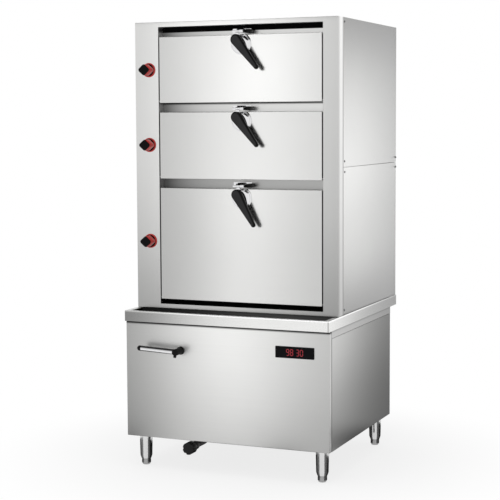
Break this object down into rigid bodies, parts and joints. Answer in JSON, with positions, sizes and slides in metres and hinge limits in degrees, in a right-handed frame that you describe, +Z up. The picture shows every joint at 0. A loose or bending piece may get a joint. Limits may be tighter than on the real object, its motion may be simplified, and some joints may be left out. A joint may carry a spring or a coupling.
{
  "type": "seafood steamer cabinet",
  "caption": "Free-standing stainless steam cabinet with drop-down chamber doors, lever latches and steam knobs on a boiler base with legs.",
  "frame": {"origin": "middle of the bounding box's underside, on the floor between the feet", "axes": "+Z up, -Y towards the front with the doors, +X to the right seen from the front"},
  "size_m": [0.9, 0.9474, 1.85],
  "materials": {
    "brushed_steel": "brushed, satin",
    "plain_steel": "plain mill sheet",
    "polished_steel": "polished stainless tube",
    "chrome": "bright plate",
    "black_plastic": "moulded, satin black",
    "red_plastic": "moulded, dark red with a black face",
    "black_rubber": "silicone, matt",
    "valve_brass": "nickel-plated brass",
    "display_glass": "smoked window"
  },
  "bodies": {
    "root": {"worktop": "brushed_steel", "base_chassis": "plain_steel", "base_shell": "brushed_steel", "base_front_panel": "brushed_steel", "display_module": "display_glass", "drain_valve_body": "black_plastic", "water_tank": "plain_steel", "induction_coil": "black_plastic", "power_module": "plain_steel", "front_frame": "brushed_steel", "chamber_liner": "brushed_steel", "liner_seal": "black_rubber", "back_panel": "plain_steel", "top_panel": "brushed_steel", "steam_manifold": "valve_brass", "leg_front_left": "polished_steel", "leg_front_right": "polished_steel", "leg_back_left": "polished_steel", "leg_back_right": "polished_steel", "side_panel_lower_left": "brushed_steel", "side_panel_lower_right": "brushed_steel", "side_panel_upper_left": "brushed_steel", "side_panel_upper_right": "brushed_steel", "rack_1": "plain_steel", "door_1_hinge_rod": "polished_steel", "latch_1_keeper": "chrome", "rack_2": "plain_steel", "door_2_hinge_rod": "polished_steel", "latch_2_keeper": "chrome", "rack_3": "plain_steel", "door_3_hinge_rod": "polished_steel", "latch_3_keeper": "chrome"},
    "door_1": {"door_1_skin": "brushed_steel", "door_1_liner": "brushed_steel", "door_1_gasket": "black_rubber", "latch_1_housing": "chrome"},
    "latch_1": {"latch_1_tongue": "chrome", "latch_1_lever": "black_plastic"},
    "knob_1": {"steam_knob_1": "red_plastic"},
    "door_2": {"door_2_skin": "brushed_steel", "door_2_liner": "brushed_steel", "door_2_gasket": "black_rubber", "latch_2_housing": "chrome"},
    "latch_2": {"latch_2_tongue": "chrome", "latch_2_lever": "black_plastic"},
    "knob_2": {"steam_knob_2": "red_plastic"},
    "door_3": {"door_3_skin": "brushed_steel", "door_3_liner": "brushed_steel", "door_3_gasket": "black_rubber", "latch_3_housing": "chrome"},
    "latch_3": {"latch_3_tongue": "chrome", "latch_3_lever": "black_plastic"},
    "knob_3": {"steam_knob_3": "red_plastic"},
    "power_lever": {"power_lever_hub": "black_plastic", "power_lever_bar": "chrome"},
    "drain_knob": {"drain_valve_knob": "black_plastic"},
    "foot_front_left": {"foot_front_left": "polished_steel"},
    "foot_front_right": {"foot_front_right": "polished_steel"},
    "foot_back_left": {"foot_back_left": "polished_steel"},
    "foot_back_right": {"foot_back_right": "polished_steel"}
  },
  "joints": [
    {"name": "door_1_hinge", "type": "hinge", "parent": "root", "child": "door_1", "pos_m": [0.0215, -0.30125, 1.525], "axis": [1, 0, 0], "range_deg": [0, 90]},
    {"name": "latch_1_pivot", "type": "hinge", "parent": "door_1", "child": "latch_1", "pos_m": [0.025, -0.31125, 1.767], "axis": [0, -1, 0], "range_deg": [0, 50]},
    {"name": "door_2_hinge", "type": "hinge", "parent": "root", "child": "door_2", "pos_m": [0.0215, -0.30125, 1.212], "axis": [1, 0, 0], "range_deg": [0, 90]},
    {"name": "latch_2_pivot", "type": "hinge", "parent": "door_2", "child": "latch_2", "pos_m": [0.025, -0.31125, 1.457], "axis": [0, -1, 0], "range_deg": [0, 50]},
    {"name": "door_3_hinge", "type": "hinge", "parent": "root", "child": "door_3", "pos_m": [0.0215, -0.30125, 0.7075], "axis": [1, 0, 0], "range_deg": [0, 90]},
    {"name": "latch_3_pivot", "type": "hinge", "parent": "door_3", "child": "latch_3", "pos_m": [0.025, -0.31125, 1.144], "axis": [0, -1, 0], "range_deg": [0, 50]},
    {"name": "knob_1_turn", "type": "hinge", "parent": "root", "child": "knob_1", "pos_m": [-0.382, -0.31125, 1.6533], "axis": [0, -1, 0], "range_deg": [0, 90]},
    {"name": "knob_2_turn", "type": "hinge", "parent": "root", "child": "knob_2", "pos_m": [-0.382, -0.31125, 1.3437], "axis": [0, -1, 0], "range_deg": [0, 90]},
    {"name": "knob_3_turn", "type": "hinge", "parent": "root", "child": "knob_3", "pos_m": [-0.382, -0.31125, 0.94275], "axis": [0, -1, 0], "range_deg": [0, 90]},
    {"name": "power_lever_turn", "type": "hinge", "parent": "root", "child": "power_lever", "pos_m": [-0.198, -0.41675, 0.505], "axis": [0, -1, 0], "range_deg": [0, 90]},
    {"name": "drain_knob_turn", "type": "hinge", "parent": "root", "child": "drain_knob", "pos_m": [-0.173, -0.37075, 0.0955], "axis": [0, -1, 0], "range_deg": [0, 90]},
    {"name": "foot_front_left_turn", "type": "hinge", "parent": "root", "child": "foot_front_left", "pos_m": [-0.3945, -0.35075, 0.026], "axis": [0, 0, 1], "continuous": true},
    {"name": "foot_front_right_turn", "type": "hinge", "parent": "root", "child": "foot_front_right", "pos_m": [0.3945, -0.35075, 0.026], "axis": [0, 0, 1], "continuous": true},
    {"name": "foot_back_left_turn", "type": "hinge", "parent": "root", "child": "foot_back_left", "pos_m": [-0.3945, 0.33825, 0.026], "axis": [0, 0, 1], "continuous": true},
    {"name": "foot_back_right_turn", "type": "hinge", "parent": "root", "child": "foot_back_right", "pos_m": [0.3945, 0.33825, 0.026], "axis": [0, 0, 1], "continuous": true}
  ]
}
